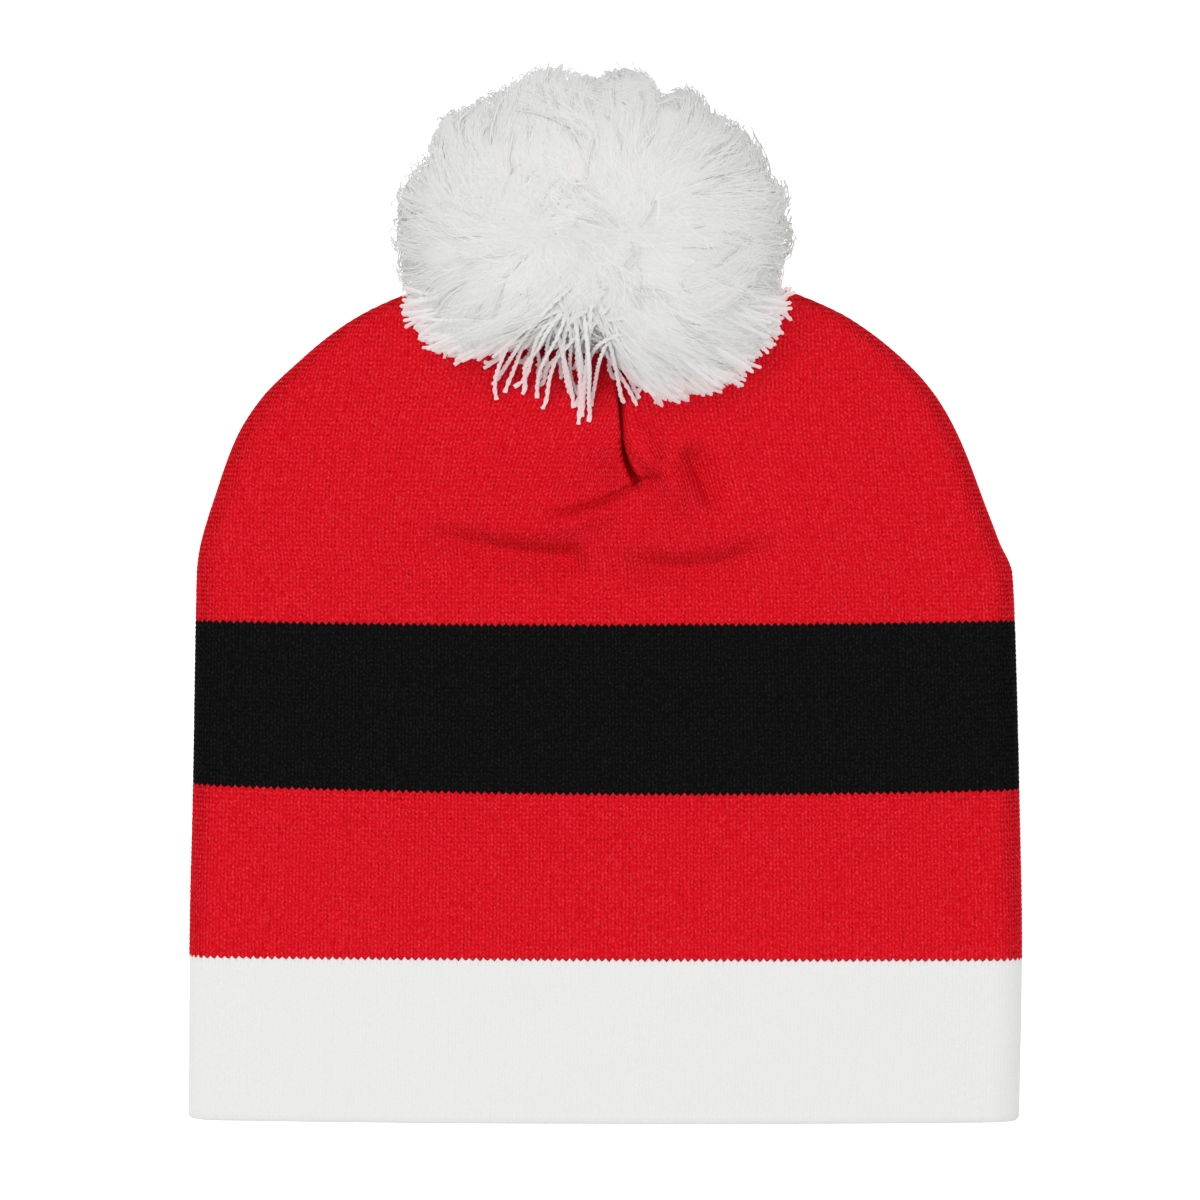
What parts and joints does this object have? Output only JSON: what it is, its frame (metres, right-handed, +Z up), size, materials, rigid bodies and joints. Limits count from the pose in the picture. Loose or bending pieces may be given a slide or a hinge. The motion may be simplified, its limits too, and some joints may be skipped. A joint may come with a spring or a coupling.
{
  "type": "pompom beanie",
  "caption": "Striped knit beanie lying flat on its back: a soft tube open at the hem, gathered to a rounded crown with a yarn pompom at its tip, pulled on over the head.",
  "frame": {"origin": "middle of the object's box, on the surface that it lies on", "axes": "+X across the hat to the right as seen from above, +Y from the hem to the pompom, +Z up from the back panel to the front panel"},
  "size_m": [0.21, 0.2634, 0.078],
  "materials": {
    "red_knit": "fine plain knit in bright red acrylic yarn, matt",
    "black_knit": "fine plain knit in black acrylic yarn, matt",
    "white_knit": "fine plain knit in white acrylic yarn, matt",
    "white_yarn": "loose cut ends of twisted white acrylic yarn, soft and slightly fluffy"
  },
  "bodies": {
    "root": {"hem_band": "white_knit", "red_stripe": "red_knit", "black_stripe": "black_knit", "crown": "red_knit", "pompom": "white_yarn", "pompom_tie": "white_yarn"}
  },
  "joints": []
}
